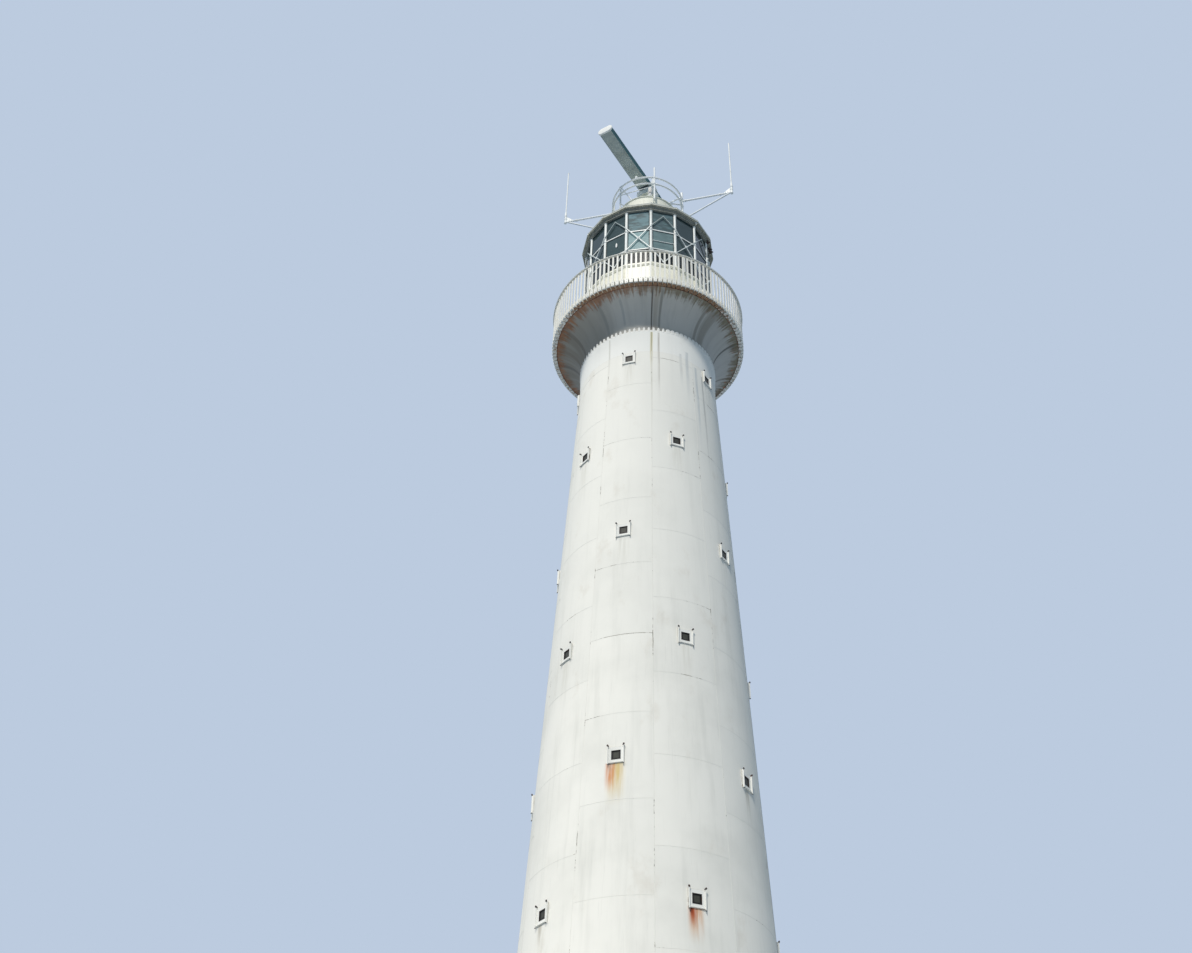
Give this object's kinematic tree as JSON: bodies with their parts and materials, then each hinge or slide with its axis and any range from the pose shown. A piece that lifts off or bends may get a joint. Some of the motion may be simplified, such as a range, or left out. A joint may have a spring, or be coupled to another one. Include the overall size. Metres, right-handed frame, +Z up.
{
  "type": "half-scale cast iron lighthouse tower",
  "caption": "Tapered round tower of bolted iron plates with small square windows, a flared gallery, a glazed lantern, a conical roof and a turning scanner on top.",
  "frame": {"origin": "centre of the flat underside of the base plate", "axes": "+Z up the tower's axis, the front of the tower faces -Y"},
  "size_m": [3.7, 3.7, 21.6],
  "materials": {
    "tower_paint": "satin, streaked with rust",
    "gallery_paint": "satin",
    "floor_iron": "rough",
    "roof_paint": "satin, weathered",
    "lantern_glass": "clear",
    "window_glass": "dark",
    "galvanised": "dull zinc",
    "aerial_white": "matt",
    "scanner_paint": "satin",
    "lamp_white": "glossy"
  },
  "bodies": {
    "tower": {"wall_tier_1_a": "tower_paint", "wall_tier_1_b": "tower_paint", "wall_tier_2_a": "tower_paint", "wall_tier_2_b": "tower_paint", "wall_tier_3_a": "tower_paint", "wall_tier_3_b": "tower_paint", "wall_tier_4_a": "tower_paint", "wall_tier_4_b": "tower_paint", "base_plate": "floor_iron", "storey_floors": "floor_iron", "gallery_deck": "floor_iron", "window_casings": "tower_paint", "entrance_frame": "tower_paint", "flare_collar": "tower_paint", "flare_panels_a": "tower_paint", "flare_panels_b": "tower_paint", "railing_panels_a": "gallery_paint", "railing_panels_b": "gallery_paint", "pedestal_wall_a": "gallery_paint", "pedestal_wall_b": "gallery_paint", "gallery_door": "gallery_paint", "lantern_posts": "gallery_paint", "lantern_transoms": "gallery_paint", "lantern_lattice": "gallery_paint", "lantern_head": "gallery_paint", "window_panes": "window_glass", "lantern_panes_lower": "lantern_glass", "lantern_panes_middle": "lantern_glass", "lantern_panes_upper": "lantern_glass", "eave": "roof_paint", "roof_panels_a": "roof_paint", "roof_panels_b": "roof_paint", "roof_drum": "roof_paint", "ring_stanchions": "galvanised", "ring_rails": "galvanised", "aerial_bracket_right": "galvanised", "aerial_bracket_left": "galvanised", "whip_aerial_right": "aerial_white", "whip_aerial_left": "aerial_white", "scanner_pedestal": "scanner_paint", "scanner_gearbox": "scanner_paint", "drum_lamp": "lamp_white", "eave_lamp": "lamp_white"},
    "scanner": {"scanner_turntable": "scanner_paint", "scanner_beam": "scanner_paint"}
  },
  "joints": [
    {"name": "scanner_spin", "type": "hinge", "parent": "tower", "child": "scanner", "pos_m": [0, 0, 20.435], "axis": [0, 0, 1], "continuous": true}
  ]
}
